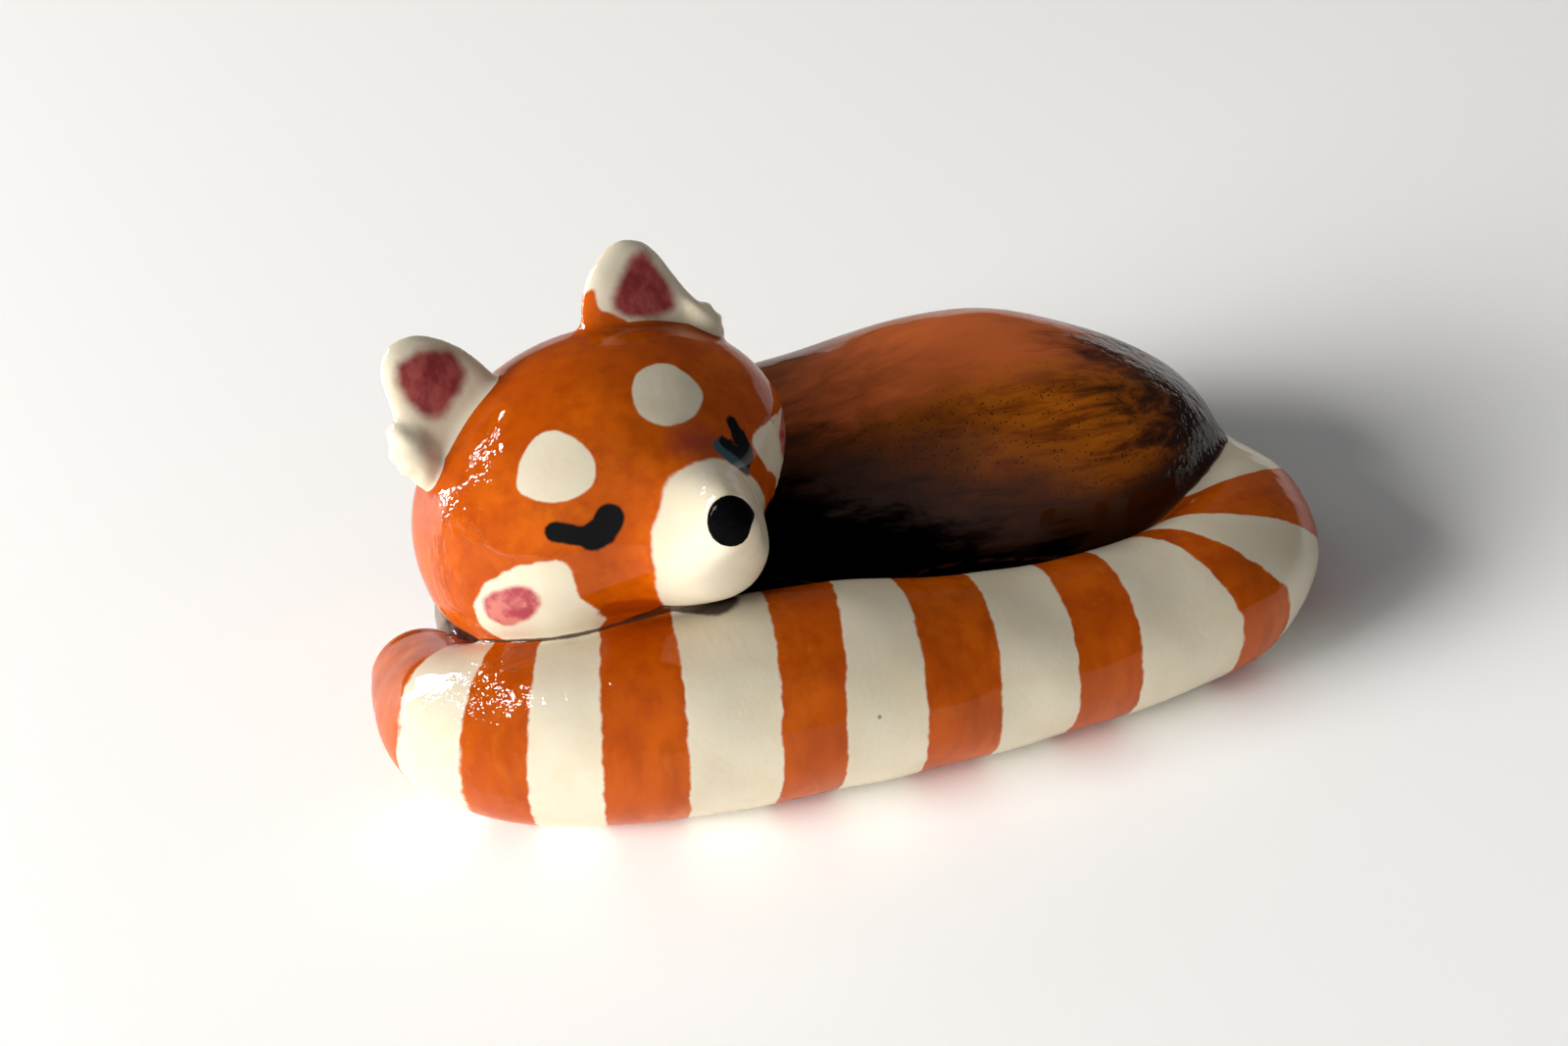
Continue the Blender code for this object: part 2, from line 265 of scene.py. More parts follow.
def flap_field(outline, dish, scallops=0.0):
    """A pillow with the given outline in the head's X and Z, dished in front or scalloped round its edge."""
    curve = outline_curve(outline)
    middle = np.asarray(outline, float).mean(0)
    spokes = curve - middle
    turns = np.arctan2(spokes[:, 1], spokes[:, 0])
    order = np.argsort(turns)
    reaches = np.hypot(spokes[:, 0], spokes[:, 1])

    def field(x, y, z):
        lx, ly, lz = to_head(x, y, z)
        du, dv = lx - middle[0], lz - middle[1]
        reach = np.interp(np.arctan2(dv, du), turns[order], reaches[order], period=math.tau)
        reach = reach * (1 + scallops * np.cos(SCALLOP_COUNT * np.arctan2(dv, du)))
        share = np.hypot(du, dv) / reach
        deep = ly - EAR_FRONT
        front = np.clip(-deep / EAR_THICK, 0.0, 1.0)
        deep = deep - dish * np.clip(1 - share**2, 0.0, 1.0) * front
        return evened(np.sqrt(share**2 + (deep / EAR_THICK) ** 2) - 1)

    return field


def leg_field(centre, half, degrees):
    turn = math.radians(degrees)

    def field(x, y, z):
        dx, dy = x - centre[0], y - centre[1]
        along = dx * math.cos(turn) + dy * math.sin(turn)
        across = dy * math.cos(turn) - dx * math.sin(turn)
        return ellipsoid(along, across, z - centre[2], (0, 0, 0), half)

    return field


body_shares = np.linspace(0, 1, 301)
body_line = through(BODY_STATIONS, body_shares)


def body_place(x, y):
    """Share along the body's middle line, signed distance across it, and the half width and height there."""
    place, across = along_line(body_line[:, :2], x, y)
    share = place / (len(body_line) - 1)
    within = np.clip(place, 0, len(body_line) - 1)
    half_width = np.interp(within, np.arange(len(body_line)), body_line[:, 2])
    height = np.interp(within, np.arange(len(body_line)), body_line[:, 3])
    return share, across, half_width, height


def body_field(x, y, z):
    flat = np.broadcast_arrays(x[:, :, 0], y[:, :, 0])
    share, across, half_width, height = (v[:, :, None] for v in body_place(*flat))
    rise = (z - height * BODY_WIDEST) / (height * (1 - BODY_WIDEST))
    field = evened(np.sqrt((across / half_width) ** 2 + rise**2 + (2 * share - 1) ** 2) - 1)
    away = sum((p - c) ** 2 for p, c in zip((x, y, z), HAUNCH)) / HAUNCH_RADIUS**2
    front = np.clip(-across / half_width * 2, 0.0, 1.0)
    return field - HAUNCH_BULGE * np.exp(-away) * front


tail_shares = np.linspace(TIP_SHARE, 1, 241)
tail_line = through(TAIL_STATIONS, tail_shares)
tail_steps = np.hypot(*np.diff(tail_line[:, :2], axis=0).T)
tail_lengths = np.concatenate([[0.0], np.cumsum(tail_steps)])
tail_ticks = np.arange(len(tail_line))


def tail_place(x, y):
    """Place along the tail's middle line, in points, signed distance across it, and the radius there."""
    place, across = along_line(tail_line[:, :2], x, y)
    return place, across, np.interp(place, tail_ticks, tail_line[:, 2])


def tail_field(x, y, z):
    flat = np.broadcast_arrays(x[:, :, 0], y[:, :, 0])
    place, across, radius = (v[:, :, None] for v in tail_place(*flat))
    step = tail_steps.mean()
    beyond = np.where(place < 0, place, np.where(place > tail_ticks[-1], place - tail_ticks[-1], 0)) * step
    across = np.sqrt(across**2 + beyond**2)
    return np.sqrt(across**2 + (z - radius * TAIL_SEAT) ** 2) - radius


def ripples(x, y, z, wavelength, height, seed, waves=10):
    """Smooth hand-made unevenness: a sum of plane waves in scattered directions."""
    random = np.random.RandomState(seed)
    total = 0.0
    for _ in range(waves):
        way = random.normal(size=3)
        way *= math.tau / (np.linalg.norm(way) * wavelength * random.uniform(0.7, 1.5))
        total = total + np.sin(x * way[0] + y * way[1] + z * way[2] + random.uniform(0, math.tau))
    return total * height / math.sqrt(waves)


# --- the lumps, laid on the grid and melted together ---


def lay(field, low=GRID_LOW, high=GRID_HIGH):
    """A lump's distances over the whole grid, worked out only between two corners."""
    spans, places = window(low, high)
    grid = np.full(counts, FAR, np.float32)
    grid[spans] = np.minimum(field(*places), FAR)
    return grid


def uneven(field, wavelength, height, seed):
    return lambda x, y, z: field(x, y, z) + ripples(x, y, z, wavelength, height, seed)


HEAD_ROOM = 24.0  # how far from the head's centre its lumps reach at most
HEAD_LOW, HEAD_HIGH = HEAD_CENTRE - HEAD_ROOM, HEAD_CENTRE + HEAD_ROOM
LEG_ROOM = np.array((14.0, 14.0, 9.0))

lumps = {
    "body": lay(uneven(body_field, *UNEVEN["body"])),
    "tail": lay(uneven(tail_field, *UNEVEN["tail"])),
    "head": lay(uneven(head_field, *UNEVEN["head"]), HEAD_LOW, HEAD_HIGH),
    "snout": lay(uneven(snout_field, *UNEVEN["snout"]), HEAD_LOW, HEAD_HIGH),
    "nose": lay(on_head(NOSE_CENTRE, NOSE_HALF), HEAD_LOW, HEAD_HIGH),
}
for name, outline in EARS.items():
    lumps[name] = lay(uneven(flap_field(outline, EAR_DISH), *UNEVEN_EAR), HEAD_LOW, HEAD_HIGH)
for name, outline in TUFTS.items():
    lumps[name] = lay(flap_field(outline, 0.0, SCALLOP_DEPTH), HEAD_LOW, HEAD_HIGH)
for name, (centre, half, degrees) in LEGS.items():
    lumps[name] = lay(leg_field(centre, half, degrees), centre - LEG_ROOM, centre + LEG_ROOM)


def melt_all():
    """The skin of the whole figurine before it is hollowed."""
    face = melted(lumps["head"], lumps["snout"], MELT["snout"])
    face = melted(face, lumps["nose"], MELT["nose"])
    for name in EARS:
        face = melted(face, lumps[name], MELT["ear"])
    for name in TUFTS:
        face = melted(face, lumps[name], MELT["tuft"])
    trunk = lumps["body"]
    for name in LEGS:
        trunk = melted(trunk, lumps[name], MELT["leg"])
    x = ticks[0][:, None, None]
    at_root = np.clip((x - ROOT_X) / ROOT_REACH, 0.0, 1.0)
    under = melted(trunk, lumps["tail"], MELT_TAIL_BODY + (MELT_TAIL_ROOT - MELT_TAIL_BODY) * at_root)
    by_body = np.clip((lumps["tail"] - trunk + 1.0) / 2.0, 0.0, 1.0)
    return melted(under, face, MELT["head_tail"] + (MELT["head_body"] - MELT["head_tail"]) * by_body)


def vent_field(x, y, z):
    low, high = np.array(VENT_LOW, float), np.array(VENT_HIGH, float)
    way = high - low
    t = np.clip(sum((p - l) * w for p, l, w in zip((x, y, z), low, way)) / (way @ way), 0.0, 1.0)
    return np.sqrt(sum((p - l - t * w) ** 2 for p, l, w in zip((x, y, z), low, way))) - VENT_RADIUS


def hollowed(skin):
    """The skin with its foot cut flat and the underside and vent scooped out."""
    x, y, z = ticks[0][:, None, None], ticks[1][None, :, None], ticks[2][None, None, :]
    scoop = ellipsoid(x, y, z, HOLLOW_CENTRE, HOLLOW_HALF)
    for cut, radius in ((z, FOOT_ROUND), (scoop, FOOT_ROUND), (vent_field(x, y, z), VENT_ROUND)):
        skin = -melted(-skin, cut, radius)
    return skin


def sampled(grid, points):
    """A grid's values at places between its own."""
    spot = (points - GRID_LOW) / VOXEL
    index = np.clip(spot.astype(int), 0, counts - 2)
    share = spot - index
    total = np.zeros(len(points))
    for corner in itertools.product((0, 1), repeat=3):
        weight = np.prod([share[:, k] if corner[k] else 1 - share[:, k] for k in range(3)], axis=0)
        total += weight * grid[tuple(index[:, k] + corner[k] for k in range(3))]
    return total


class Skin:
    """The meshed skin: points, their normals, triangles, and the lump that each triangle belongs to."""

    def __init__(self, field):
        self.field = field
        self.slopes = [s.astype(np.float32) for s in np.gradient(field, VOXEL)]
        grid = openvdb.FloatGrid(background=3.0)
        grid.copyFromArray(np.clip(field, -3.0, 3.0), tolerance=0.0)
        points, quads = grid.convertToQuads(isovalue=0.0)
        self.points = points.astype(float) * VOXEL + GRID_LOW
        self.settle()
        self.split_where_lumps_meet(quads.astype(int))
        self.settle()
        self.normals = self.direction()

    def direction(self):
        slope = np.stack([sampled(s, self.points) for s in self.slopes], axis=1)
        return slope / np.maximum(np.linalg.norm(slope, axis=1, keepdims=True), 1e-6)

    def settle(self, rounds=3):
        """Moves the points onto the surface."""
        for _ in range(rounds):
            slope = np.stack([sampled(s, self.points) for s in self.slopes], axis=1)
            square = np.maximum((slope**2).sum(1), 0.05)
            self.points -= np.clip(sampled(self.field, self.points) / square, -0.3, 0.3)[:, None] * slope

    def lump_distances(self):
        return np.stack([sampled(lumps[name], self.points) for name in lumps], axis=1)

    def split_where_lumps_meet(self, quads):
        """Slides the nearest points onto each line where lumps meet, then gives each triangle to a lump."""
        away = self.lump_distances()
        nearest = away.argmin(1)
        edges = np.concatenate([quads[:, [k, (k + 1) % 4]] for k in range(4)])
        edges = edges[nearest[edges[:, 0]] != nearest[edges[:, 1]]]
        moves, shares = np.zeros_like(self.points), np.zeros(len(self.points))
        for a, b in ((edges[:, 0], edges[:, 1]), (edges[:, 1], edges[:, 0])):
            here = away[a, nearest[b]] - away[a, nearest[a]]
            there = away[b, nearest[a]] - away[b, nearest[b]]
            share = here / np.maximum(here + there, 1e-6)
            close = share <= 0.5
            a, b, share = a[close], b[close], share[close]
            np.add.at(moves, a, (self.points[b] - self.points[a]) * share[:, None])
            np.add.at(shares, a, 1.0)
        snapped = shares > 0
        self.points[snapped] += moves[snapped] / shares[snapped, None]
        ranked = np.sort(away, axis=1)
        lead = np.where(snapped, 0.0, ranked[:, 1] - ranked[:, 0])
        across = snapped[quads[:, 0]] & snapped[quads[:, 2]]
        first = np.where(across[:, None], quads[:, [0, 1, 2]], quads[:, [0, 1, 3]])
        second = np.where(across[:, None], quads[:, [0, 2, 3]], quads[:, [1, 2, 3]])
        self.triangles = np.concatenate([first, second])
        strongest = lead[self.triangles].argmax(1)
        self.owner = nearest[self.triangles[np.arange(len(self.triangles)), strongest]]


# --- where the colours were brushed on ---

# Outlines on the head, in degrees across (0 is the middle of the face) and up, seen from the head's centre.
HEAD_PATCHES = {
    "brow": (
        ((-39, 28), (-31, 35), (-23, 35), (-16, 27), (-15, 18), (-21, 12), (-32, 13), (-41, 20)),
        ((18, 37), (11, 32), (8, 25), (11, 19), (16, 16), (25, 15), (33, 19), (35, 27), (34, 34), (26, 38)),
    ),
    "cheek": (
        (
            (-76, -19), (-72, -8), (-65, -2), (-57, 0), (-49, 0), (-39, -3), (-37, -8), (-40, -17),
            (-39, -28), (-44, -36), (-56, -36), (-68, -28),
        ),
        (
            (62, -2), (48, -1), (40, -2), (39, -6), (43, -13), (55, -21), (66, -28), (78, -24),
            (84, -12), (76, -3),
        ),
    ),
    "blush": (
        ((-69, -11), (-66, -5), (-60, -4), (-53, -5), (-50, -9), (-51, -13), (-57, -16), (-66, -16)),
        ((57, -10), (60, -5), (72, -3), (78, -9), (72, -17), (62, -16)),
    ),
    "muzzle": (
        (
            (1, 3), (7, 4), (13, 3), (18, 1), (24, -4), (29, -10), (35, -18), (43, -28), (40, -48),
            (10, -66), (-16, -54), (-17, -32), (-14, -18), (-10, -8), (-4, -2),
        ),
    ),
    "peel": (((-84, -2), (-76, 18), (-62, 34), (-48, 44), (-42, 32), (-52, 16), (-64, 2), (-74, -14)),),
    "rose": (((14, 14), (21, 12), (25, 6), (21, 2), (14, 5), (11, 9)),),
}
# Brush strokes on the head: places in the same degrees, and the stroke's half width in millimetres.
HEAD_STROKES = {
    "eye": (
        (((-35.5, 5), (-30, 1), (-26, -1.5)), 0.82),
        (((-26, -1.5), (-22.5, -1.3), (-19, 1.2)), 1.18),
        (((35, 6), (34, 1)), 0.62),
        (((34, 1), (33.6, -4)), 0.92),
        (((26.5, 3), (29, -2), (31, -6)), 0.55),
    ),
    "teal": ((((24, 2), (24.5, -1.5), (28, -6)), 0.85),),
    "ridge": ((((-36, -30), (-26, -35), (-14, -41)), 1.0),),
}
# The pink inside each ear, and the orange spur up its inner edge, in the head's X and Z.
EAR_PINKS = {
    "right_ear": (
        (-11.6, 17.6), (-9.1, 18.0), (-6.8, 16.7), (-7.0, 14.4), (-9.2, 13.0), (-11.0, 12.7),
        (-12.1, 15.0),
    ),
    "left_ear": ((7.0, 13.6), (10.2, 16.3), (12.0, 15.9), (12.1, 11.2), (9.0, 11.4)),
}
EAR_SPUR = (
    (3.0, 11.5), (3.4, 14.0), (5.0, 15.4), (6.4, 15.6), (5.9, 14.0), (6.8, 13.0), (7.4, 11.6),
    (5.5, 10.0),
)
# Where the tail changes colour, in millimetres along its middle line from the tip: on its outer side, and on
# top towards the body. It starts orange, and after the last change it is covered by the body's brown.
TAIL_CHANGES = (
    (10.0, 7.2), (13.8, 13.2), (17.8, 17.7), (22.6, 22.8), (28.6, 29.0), (35.4, 37.4), (40.8, 43.4),
    (48.0, 48.8), (54.4, 55.8), (61.3, 62.5), (67.3, 68.2), (77.2, 73.8), (81.6, 75.9), (88.5, 79.6),
    (98.0, 88.8), (106.5, 97.5),
)
TAIL_CHANGE_ANGLES = (20, 120)  # where those two lie, in degrees up from the outer side
TAIL_SWEEP = 1.3  # how far round the changes keep running on, as a share of the way between those angles
TAIL_PEEL = (19.0, 42, 8.0)  # the pebbled patch: how far from the tip, degrees up, and its reach
CHART_REACH = 8.0  # how far behind its drawing plane a mark on the head still shows
EAR_FACE = 0.3  # how far behind the ear's middle its front paint still shows


def in_head(points):
    return (points - HEAD_CENTRE) @ HEAD_AXES


def facing(degrees):
    """Places on the head's plain ellipsoid that lie this way, in degrees across and up, from its centre."""
    across, up = np.radians(np.asarray(degrees, float)).T
    way = np.stack([np.sin(across) * np.cos(up), -np.cos(across) * np.cos(up), np.sin(up)], axis=1)
    return pressed(way)


def pressed(places):
    """Places moved along their lines from the head's centre onto its plain ellipsoid."""
    return places / np.linalg.norm(places / np.array(HEAD_HALF), axis=1, keepdims=True)


def chart(middle):
    """The drawing plane that touches the head at one place, as a function from places to flat coordinates."""
    out = middle / np.array(HEAD_HALF) ** 2
    out /= np.linalg.norm(out)
    across = np.cross((0, 0, 1), out)
    across /= np.linalg.norm(across)
    up = np.cross(out, across)

    def flatten(places):
        away = places - middle
        return np.stack([away @ across, away @ up], axis=1), away @ out > -CHART_REACH

    return flatten


def stroke_distance(places, line):
    """Distance from each place to a line of points on a plane."""
    best = np.full(len(places), 1e9)
    for start, end in zip(line[:-1], line[1:]):
        step = end - start
        t = np.clip((places - start) @ step / (step @ step), 0.0, 1.0)
        best = np.minimum(best, np.linalg.norm(places - start - t[:, None] * step, axis=1))
    return best


def inside_distance(places, outline):
    """Distance from each place to a closed outline on a plane, positive inside."""
    ring = outline_curve(outline, 6)
    loop = np.vstack([ring, ring[:1]])
    inside = np.zeros(len(places), bool)
    for (x0, y0), (x1, y1) in zip(loop[:-1], loop[1:]):
        if y0 == y1:
            continue
        crosses = (y0 > places[:, 1]) != (y1 > places[:, 1])
        inside ^= crosses & (places[:, 0] < x0 + (places[:, 1] - y0) * (x1 - x0) / (y1 - y0))
    return np.where(inside, 1, -1) * stroke_distance(places, loop)


def head_paint(points):
    """How far inside each painted patch and stroke of the head each point lies, in millimetres."""
    places = pressed(in_head(points))
    marks = {name: [(outline, None) for outline in outlines] for name, outlines in HEAD_PATCHES.items()}
    marks.update(HEAD_STROKES)
    paint = {}
    for name, shapes in marks.items():
        paint[name] = np.full(len(points), -FAR)
        for line, half_width in shapes:
            corners = facing(line)
            flatten = chart(pressed(corners.mean(0)[None])[0])
            flat, near = flatten(places)
            drawn = flatten(corners)[0]
            if half_width is None:
                depth = inside_distance(flat, drawn)
            else:
                depth = half_width - stroke_distance(flat, drawn)
            paint[name] = np.maximum(paint[name], np.where(near, depth, -FAR))
    return paint


def ear_paint(points):
    places = in_head(points)
    front = places[:, 1] < EAR_FRONT + EAR_FACE
    flat = places[:, [0, 2]]
    pink = np.full(len(points), -FAR)
    for outline in EAR_PINKS.values():
        pink = np.maximum(pink, np.where(front, inside_distance(flat, outline), -FAR))
    return {"pink": pink, "spur": inside_distance(flat, EAR_SPUR)}


def tail_paint(points):
    """How far inside an orange band, the root's brown and the pebbled patch each point lies."""
    place, across, radius = tail_place(points[:, 0], points[:, 1])
    along = np.interp(place, tail_ticks, tail_lengths) + np.minimum(place, 0) * tail_steps[0]
    angle = np.degrees(np.arctan2(points[:, 2] - radius * TAIL_SEAT, -across)) % 360
    angle = np.where(angle > 270, angle - 360, angle)
    low, high = TAIL_CHANGE_ANGLES
    share = np.clip((angle - low) / (high - low), 0.0, TAIL_SWEEP)
    outer, top = np.array(TAIL_CHANGES).T
    changes = outer + share[:, None] * (top - outer)
    depth = np.abs(along[:, None] - changes[:, :-1]).min(1)
    orange = (along[:, None] > changes[:, :-1]).sum(1) % 2 == 0
    peel_along, peel_angle, peel_reach = TAIL_PEEL
    peel = peel_reach - np.hypot(along - peel_along, np.radians(angle - peel_angle) * radius)
    return {"band": np.where(orange, depth, -depth), "root": along - changes[:, -1], "peel": peel}


def body_paint(points):
    """The share along the body, the angle up from its side in quarter turns, and 1 on its far side."""
    share, across, half_width, height = body_place(points[:, 0], points[:, 1])
    rise = (points[:, 2] - height * BODY_WIDEST) / (height * (1 - BODY_WIDEST))
    around = np.arctan2(rise, np.abs(across / half_width)) / (math.pi / 2)
    return {"share": share, "around": around, "far": np.clip(across / half_width * 2, 0.0, 1.0)}


def paw_paint(points):
    """How far outside the body each point of the forepaw lies."""
    return {"out": sampled(lumps["body"], points)}


def seam_paint(points):
    """How far each point is from the crease between two lumps, less how far the painted crease shade widens
    there.
    """
    away = np.stack([sampled(lumps[name], points) for name in ("head", "snout", "tail", "body")], axis=1)
    face = np.minimum(away[:, 0], away[:, 1])
    # The painted crease shade widens under the muzzle, towards the middle of the tail.
    shade_widening = CREASE_SHADE_WIDENS * np.clip((points[:, 0] - SHADE_WIDENS_X) / SHADE_WIDENS_REACH, 0, 1)
    return {
        "head_seam": np.abs(face - np.minimum(away[:, 2], away[:, 3])) - shade_widening,
        "tail_seam": np.abs(away[:, 2] - away[:, 3]),
    }


# --- pieces ---


def cut_distance(points):
    """How far each point is from the foot, the hollow underneath and the vent, which were never glazed."""
    x, y, z = points.T
    scoop = ellipsoid(x, y, z, HOLLOW_CENTRE, HOLLOW_HALF)
    return np.minimum.reduce([z, scoop, vent_field(x, y, z)])


def piece_from(name, skin, index, paints):
    """The part of the skin that belongs to one lump, closed by an inner wall, as an object in metres.

    Its second material is for the bare clay.
    """
    triangles = skin.triangles[skin.owner == index]
    used, flat = np.unique(triangles, return_inverse=True)
    triangles = flat.reshape(-1, 3)
    points, normals = skin.points[used], skin.normals[used]
    count = len(points)
    edges = np.concatenate([triangles[:, [0, 1]], triangles[:, [1, 2]], triangles[:, [2, 0]]])
    codes = edges[:, 0] * count + edges[:, 1]
    rim = edges[~np.isin(codes, edges[:, 1] * count + edges[:, 0])]
    wall_points = points - normals * WALL
    rim_faces = np.concatenate([rim[:, [1, 0]], rim + count], axis=1)
    wall = triangles[:, ::-1] + count
    corners = np.concatenate([triangles.ravel(), wall.ravel(), rim_faces.ravel()])
    sizes = np.concatenate([np.full(len(triangles) * 2, 3), np.full(len(rim_faces), 4)])
    mesh = bpy.data.meshes.new(name)
    both = (np.concatenate([points, wall_points]) - ORIGIN) * MM
    mesh.vertices.add(len(both))
    mesh.vertices.foreach_set("co", both.astype(np.float32).ravel())
    mesh.loops.add(len(corners))
    mesh.loops.foreach_set("vertex_index", corners.astype(np.int32))
    mesh.polygons.add(len(sizes))
    mesh.polygons.foreach_set("loop_start", (np.cumsum(sizes) - sizes).astype(np.int32))
    mesh.polygons.foreach_set("use_smooth", np.ones(len(sizes), bool))
    bare = np.zeros(len(sizes), np.int32)
    bare[: len(triangles)] = cut_distance(points[triangles].mean(1)) < BARE
    mesh.polygons.foreach_set("material_index", bare)
    mesh.update(calc_edges=True)
    mesh.validate()
    turned = np.zeros((len(corners), 3))
    outer, inner = len(triangles) * 3, len(triangles) * 6
    turned[:outer] = normals[triangles.ravel()]
    turned[outer:inner] = -normals[triangles[:, ::-1].ravel()]
    mesh.normals_split_custom_set(turned)
    for paint in paints:
        for label, values in paint(np.concatenate([points, points])).items():
            layer = mesh.attributes.new(label, "FLOAT", "POINT")
            layer.data.foreach_set("value", values.astype(np.float32))
    piece = bpy.data.objects.new(name, mesh)
    bpy.context.scene.collection.objects.link(piece)
    return piece


# --- finishes ---

COAT = 0.6  # weight of the clear coat over the colours


class Glaze:
    """A glazed ceramic finish: colours brushed over one another under a clear glossy coat."""

    def __init__(self, name, roughness=0.35, coat=COAT, coat_roughness=0.04):
        self.material = bpy.data.materials.new(name)
        self.material.use_nodes = True
        self.tree = self.material.node_tree
        self.shader = self.tree.nodes["Principled BSDF"]
        for socket, value in (
            ("Roughness", roughness),
            ("IOR", 1.5),
            ("Specular IOR Level", 0.0),
            ("Coat Weight", coat),
            ("Coat Roughness", coat_roughness),
            ("Coat IOR", 1.43),
        ):
            self.shader.inputs[socket].default_value = value
        places = self.tree.nodes.new("ShaderNodeTexCoord")
        self.places = places.outputs["Object"]

    def wire(self, node, **inputs):
        """Links or sets a node's inputs, by name, or by place for a name such as _2."""
        for label, value in inputs.items():
            socket = node.inputs[int(label[1:])] if label[1:].isdigit() else node.inputs[label]
            if isinstance(value, bpy.types.NodeSocket):
                self.tree.links.new(value, socket)
            else:
                socket.default_value = value
        return node

    def measure(self, name):
        """One of the piece's painted distances."""
        node = self.tree.nodes.new("ShaderNodeAttribute")
        node.attribute_name = name
        return node.outputs["Fac"]

    def noise(self, size, detail=3.0, stretch=(1, 1, 1), rough=0.55, twist=0.0):
        """Noise from 0 to 1, with blotches of a size in millimetres, drawn out along the stretched axes."""
        mapping = self.tree.nodes.new("ShaderNodeMapping")
        mapping.vector_type = "TEXTURE"
        self.wire(mapping, Vector=self.places, Scale=tuple(size * MM * s for s in stretch))
        node = self.tree.nodes.new("ShaderNodeTexNoise")
        self.wire(node, Vector=mapping.outputs[0], Scale=1.0)
        return self.wire(node, Detail=detail, Roughness=rough, Distortion=twist).outputs["Fac"]

    def specks(self, size, reach):
        """1 in the middle of scattered dots, 0 away from them. Size is their spacing, reach a share of it."""
        mapping = self.tree.nodes.new("ShaderNodeMapping")
        mapping.vector_type = "TEXTURE"
        self.wire(mapping, Vector=self.places, Scale=(size * MM,) * 3)
        node = self.tree.nodes.new("ShaderNodeTexVoronoi")
        self.wire(node, Vector=mapping.outputs[0], Scale=1.0)
        return self.step(node.outputs["Distance"], reach, reach * 0.5)

    def sum(self, a, b, scale=1.0):
        """a + b * scale"""
        node = self.tree.nodes.new("ShaderNodeMath")
        node.operation = "MULTIPLY_ADD"
        return self.wire(node, _0=b, _1=scale, _2=a).outputs[0]

    def times(self, a, b):
        node = self.tree.nodes.new("ShaderNodeMath")
        node.operation = "MULTIPLY"
        return self.wire(node, _0=a, _1=b).outputs[0]

    def step(self, value, low, high):
        """0 at low and 1 at high, smooth between them."""
        node = self.tree.nodes.new("ShaderNodeMapRange")
        node.interpolation_type = "SMOOTHSTEP"
        if low > high:
            self.wire(node, _0=value, _1=high, _2=low, _3=1.0, _4=0.0)
        else:
            self.wire(node, _0=value, _1=low, _2=high)
        return node.outputs[0]

    def mix(self, share, under, over):
        """The colour under at a share of 0, and the colour over at 1."""
        node = self.tree.nodes.new("ShaderNodeMix")
        node.data_type = "RGBA"
        for socket, value in ((node.inputs[0], share), (node.inputs[6], under), (node.inputs[7], over)):
            if isinstance(value, bpy.types.NodeSocket):
                self.tree.links.new(value, socket)
            elif isinstance(value, tuple):
                socket.default_value = (*value, 1.0)
            else:
                socket.default_value = value
        return node.outputs[2]

    def brushed(self, under, over, distance, soft=0.12, ragged=0.25, size=1.2):
        """A colour brushed where a painted distance is above 0, with an uneven edge, in millimetres."""
        edge = self.sum(distance, self.sum(self.noise(size), -0.5), 2 * ragged)
        return self.mix(self.step(edge, -soft, soft), under, over)

    def bumps(self, parts, label="Normal"):
        """Chains bumps of (pattern, height in millimetres) into one of the shader's normals."""
        normal = None
        for pattern, height in parts:
            node = self.tree.nodes.new("ShaderNodeBump")
            self.wire(node, Height=pattern, Distance=height * MM, Strength=1.0)
            if normal is not None:
                self.tree.links.new(normal, node.inputs["Normal"])
            normal = node.outputs["Normal"]
        self.tree.links.new(normal, self.shader.inputs[label])

    def finished(self, colour):
        self.tree.links.new(colour, self.shader.inputs["Base Color"])
        return self.material


ORANGE = (0.50, 0.078, 0.0008)
ORANGE_BRIGHT = (0.62, 0.112, 0.0015)
ORANGE_DEEP = (0.36, 0.044, 0.0006)
ORANGE_THIN = (0.70, 0.20, 0.006)
CREAM = (0.78, 0.70, 0.54)
CREAM_WARM = (0.75, 0.65, 0.47)
BLACK = (0.0025, 0.0025, 0.003)
INK = (0.012, 0.012, 0.018)
ROSE = (0.38, 0.08, 0.07)
ROSE_DEEP = (0.24, 0.03, 0.035)
BLUSH = (0.60, 0.19, 0.16)
BLUSH_DEEP = (0.40, 0.065, 0.085)
TEAL = (0.045, 0.095, 0.11)
# Dark brown of the specks in the white glaze, and of the painted shade in the creases between lumps.
SPECK_AND_CREASE_SHADE_BROWN = (0.050, 0.019, 0.008)
# Heights of the glaze's unevenness, in millimetres, and its ripples' height as a share of its waves'.
WAVE_HEIGHT, PEBBLE_HEIGHT, BRUSH_HEIGHT = 0.2, 0.26, 0.02
RIPPLE_SHARE = 0.25


def orange_paint(glaze, brushing=(1, 1, 1)):
    """Orange glaze, thinner and thicker in blotches that are drawn out along the way it was brushed."""
    blotches = glaze.step(glaze.noise(6.0, 4.0, stretch=brushing), 0.35, 0.68)
    streaks = glaze.step(glaze.noise(1.6, 4.0, stretch=brushing, rough=0.6), 0.35, 0.75)
    colour = glaze.mix(blotches, ORANGE, ORANGE_BRIGHT)
    colour = glaze.mix(glaze.times(streaks, 0.6), colour, ORANGE_DEEP)
    thin = glaze.step(glaze.noise(3.2, 5.0, stretch=brushing, twist=0.6), 0.60, 0.80)
    return glaze.mix(glaze.times(thin, 0.4), colour, ORANGE_THIN)


def cream_paint(glaze):
    return glaze.mix(glaze.step(glaze.noise(4.0, 3.0), 0.35, 0.75), CREAM, CREAM_WARM)


